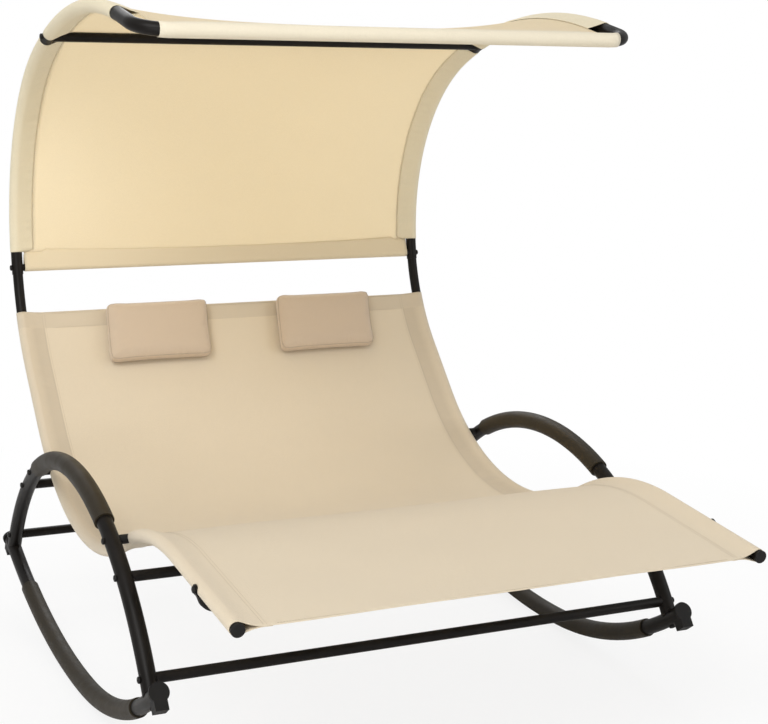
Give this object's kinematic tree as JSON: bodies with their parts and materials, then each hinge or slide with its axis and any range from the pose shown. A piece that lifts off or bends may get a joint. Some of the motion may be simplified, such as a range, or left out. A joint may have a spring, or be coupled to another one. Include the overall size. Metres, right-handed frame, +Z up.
{
  "type": "double sun lounger with canopy",
  "caption": "Two-person rocking sun lounger: sling seat between bent tubes on arched legs and rockers, with curved fabric canopy and head pillows.",
  "frame": {"origin": "bottom centre of the bounding box, on the floor under the middle of the lounger", "axes": "+Z up, +Y from the foot end towards the head end, +X across to the right as seen from the foot end"},
  "size_m": [1.3882, 1.8234, 1.6698],
  "materials": {
    "black_tube": "satin black powder coat",
    "black_bolt": "black coated steel",
    "insert_steel": "plain zinc",
    "foam": "matte foam sleeve",
    "black_plastic": "moulded, matte",
    "sling_cloth": "open coated mesh weave",
    "canopy_cloth": "plain woven polyester",
    "pillow_cloth": "padded cover with sewn edges"
  },
  "bodies": {
    "lounger": {"left_arch_tube": "black_tube", "right_arch_tube": "black_tube", "left_rocker_tube": "black_tube", "right_rocker_tube": "black_tube", "leg_inserts": "insert_steel", "leg_bolts": "black_bolt", "left_arm_sleeve": "foam", "right_arm_sleeve": "foam", "left_rocker_sleeve": "foam", "right_rocker_sleeve": "foam", "left_front_cap": "black_plastic", "right_front_cap": "black_plastic", "left_rear_cap": "black_plastic", "right_rear_cap": "black_plastic", "front_crossbar": "black_tube", "middle_crossbar": "black_tube", "rear_upper_crossbar": "black_tube", "rear_lower_crossbar": "black_tube", "crossbar_bolts": "black_bolt", "crossbar_inserts": "insert_steel", "left_seat_tube": "black_tube", "right_seat_tube": "black_tube", "seat_spacers": "black_plastic", "seat_bolts": "black_bolt", "rivet_nuts": "insert_steel", "left_foot_plug": "black_plastic", "right_foot_plug": "black_plastic", "foot_spreader": "black_tube", "spreader_bolts": "black_bolt", "left_canopy_side_tube": "black_tube", "right_canopy_side_tube": "black_tube", "canopy_front_tube": "black_tube", "canopy_shoulder_bar": "black_tube", "canopy_hem_bar": "black_tube", "canopy_inserts": "insert_steel", "shoulder_bolts": "black_bolt", "socket_bolts": "black_bolt", "seat_sling": "sling_cloth", "left_sling_sleeve": "sling_cloth", "right_sling_sleeve": "sling_cloth", "canopy_back_panel": "canopy_cloth", "canopy_roof_panel": "canopy_cloth", "left_canopy_pocket": "canopy_cloth", "right_canopy_pocket": "canopy_cloth", "canopy_front_pocket": "canopy_cloth", "canopy_rear_hem": "canopy_cloth", "left_pillow_strap": "pillow_cloth", "right_pillow_strap": "pillow_cloth"},
    "left_head_pillow": {"left_pillow": "pillow_cloth"},
    "right_head_pillow": {"right_pillow": "pillow_cloth"}
  },
  "joints": [
    {"name": "left_pillow_swing", "type": "hinge", "parent": "lounger", "child": "left_head_pillow", "pos_m": [-0.244, 0.8372, 0.8055], "axis": [-1, 0, 0], "range_deg": [0, 120], "deforming": ["left_pillow_strap"]},
    {"name": "right_pillow_swing", "type": "hinge", "parent": "lounger", "child": "right_head_pillow", "pos_m": [0.275, 0.8372, 0.8055], "axis": [-1, 0, 0], "range_deg": [0, 120], "deforming": ["right_pillow_strap"]}
  ]
}
